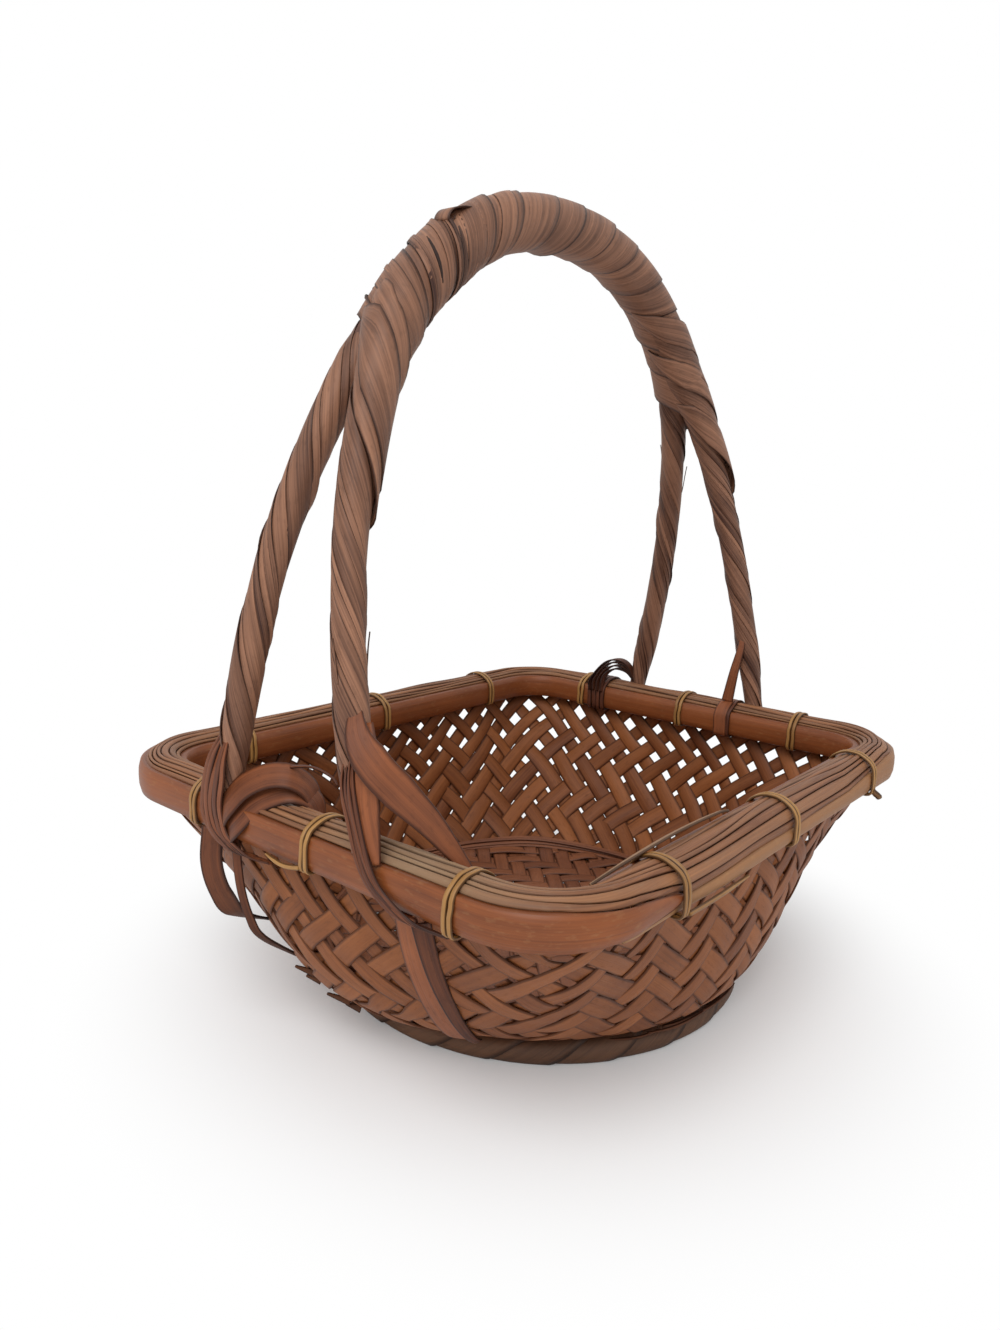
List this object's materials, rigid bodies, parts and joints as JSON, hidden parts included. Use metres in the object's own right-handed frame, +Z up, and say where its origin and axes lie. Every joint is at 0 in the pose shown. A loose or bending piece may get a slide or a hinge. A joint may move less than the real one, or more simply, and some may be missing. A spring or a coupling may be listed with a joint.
{
  "type": "ikebana basket",
  "caption": "Woven bamboo flower basket with a round floor, a rounded-rectangle mouth, a bound rim and a tall wrapped arch handle on paired legs.",
  "frame": {"origin": "on the surface the basket stands on, under the middle of its overall box", "axes": "+X along the handle's span, towards the right feet; +Y to the back; +Z up"},
  "size_m": [0.3048, 0.2557, 0.3429],
  "materials": {
    "weave": "brown-stained split bamboo, satin, woven in a slanting twill",
    "hoop": "orange-brown bamboo hoop, smooth satin lacquer",
    "splint": "greyed brown bamboo splints, matt",
    "base_strip": "dark brown bamboo strip, worn matt",
    "rod": "brown bamboo bundle, matt",
    "wrap_strip": "brown split bamboo strip with fine fibre lines, satin",
    "rattan": "golden rattan peel, satin"
  },
  "bodies": {
    "root": {"woven_body": "weave", "base_ring_core": "base_strip", "base_ring_winding": "base_strip", "inner_base_hoop": "splint", "outer_rim_hoop": "hoop", "inner_rim_hoop": "hoop", "rim_splint_1": "splint", "rim_splint_2": "splint", "rim_splint_3": "splint", "rim_splint_4": "splint", "rim_splint_5": "splint", "rim_tie_left_1": "rattan", "rim_tie_left_2": "rattan", "rim_tie_left_3": "rattan", "rim_tie_right_1": "rattan", "rim_tie_right_2": "rattan", "rim_tie_right_3": "rattan", "rim_tie_front_1": "rattan", "rim_tie_front_2": "rattan", "rim_tie_front_3": "rattan", "rim_tie_back_1": "rattan", "rim_tie_back_2": "rattan", "rim_tie_back_3": "rattan", "rim_thread_left": "rattan", "rim_thread_front": "rattan", "handle_rod_front": "rod", "handle_rod_back": "rod", "leg_wrap_left_front": "wrap_strip", "leg_wrap_right_front": "wrap_strip", "leg_wrap_left_back": "wrap_strip", "leg_wrap_right_back": "wrap_strip", "arch_wrap": "wrap_strip", "foot_lashing_left_back": "wrap_strip", "foot_lashing_left_front": "wrap_strip", "foot_lashing_right_back": "wrap_strip", "foot_lashing_right_front": "wrap_strip", "brace_left_front": "wrap_strip", "tail_left_front": "wrap_strip", "rim_loop_left_back_1": "wrap_strip", "rim_loop_left_back_2": "wrap_strip", "hanging_loop_left_back_1": "wrap_strip", "hanging_loop_left_back_2": "wrap_strip", "rim_loop_right_back": "wrap_strip", "brace_right_front": "wrap_strip"}
  },
  "joints": []
}
